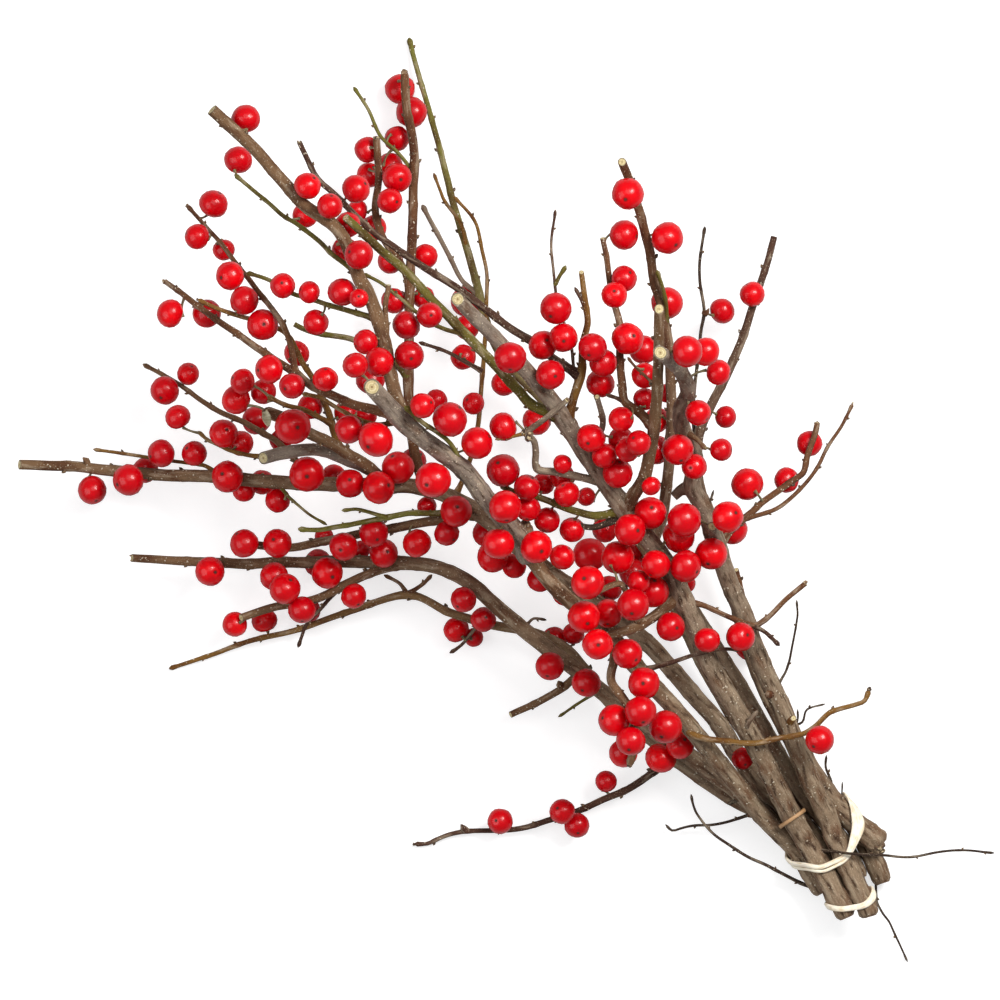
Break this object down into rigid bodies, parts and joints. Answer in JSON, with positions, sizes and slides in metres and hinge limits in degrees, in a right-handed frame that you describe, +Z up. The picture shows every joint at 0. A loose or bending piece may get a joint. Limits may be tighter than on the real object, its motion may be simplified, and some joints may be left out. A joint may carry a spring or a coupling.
{
  "type": "holly sprig",
  "caption": "Tied bunch of leafless winterberry holly branches with clusters of red berries, lying on a flat surface.",
  "frame": {"origin": "middle of the bunch's footprint, on the surface it lies on", "axes": "+Z up off the surface; +X across the bunch, from the berried tips at the left towards the tied butts at the lower right; +Y from the butts' side towards the tips"},
  "size_m": [0.2944, 0.2796, 0.1339],
  "materials": {
    "bark": "matte",
    "berry_skin": "gloss",
    "cream_rubber": "satin",
    "tan_rubber": "satin"
  },
  "bodies": {
    "root": {"stem_1": "bark", "stem_2": "bark", "stem_3": "bark", "stem_4": "bark", "stem_5": "bark", "stem_6": "bark", "stem_7": "bark", "stem_8": "bark", "stem_9": "bark", "stem_10": "bark", "rubber_band_lower": "cream_rubber", "rubber_band_upper": "cream_rubber", "rubber_band_strand": "tan_rubber"}
  },
  "joints": []
}
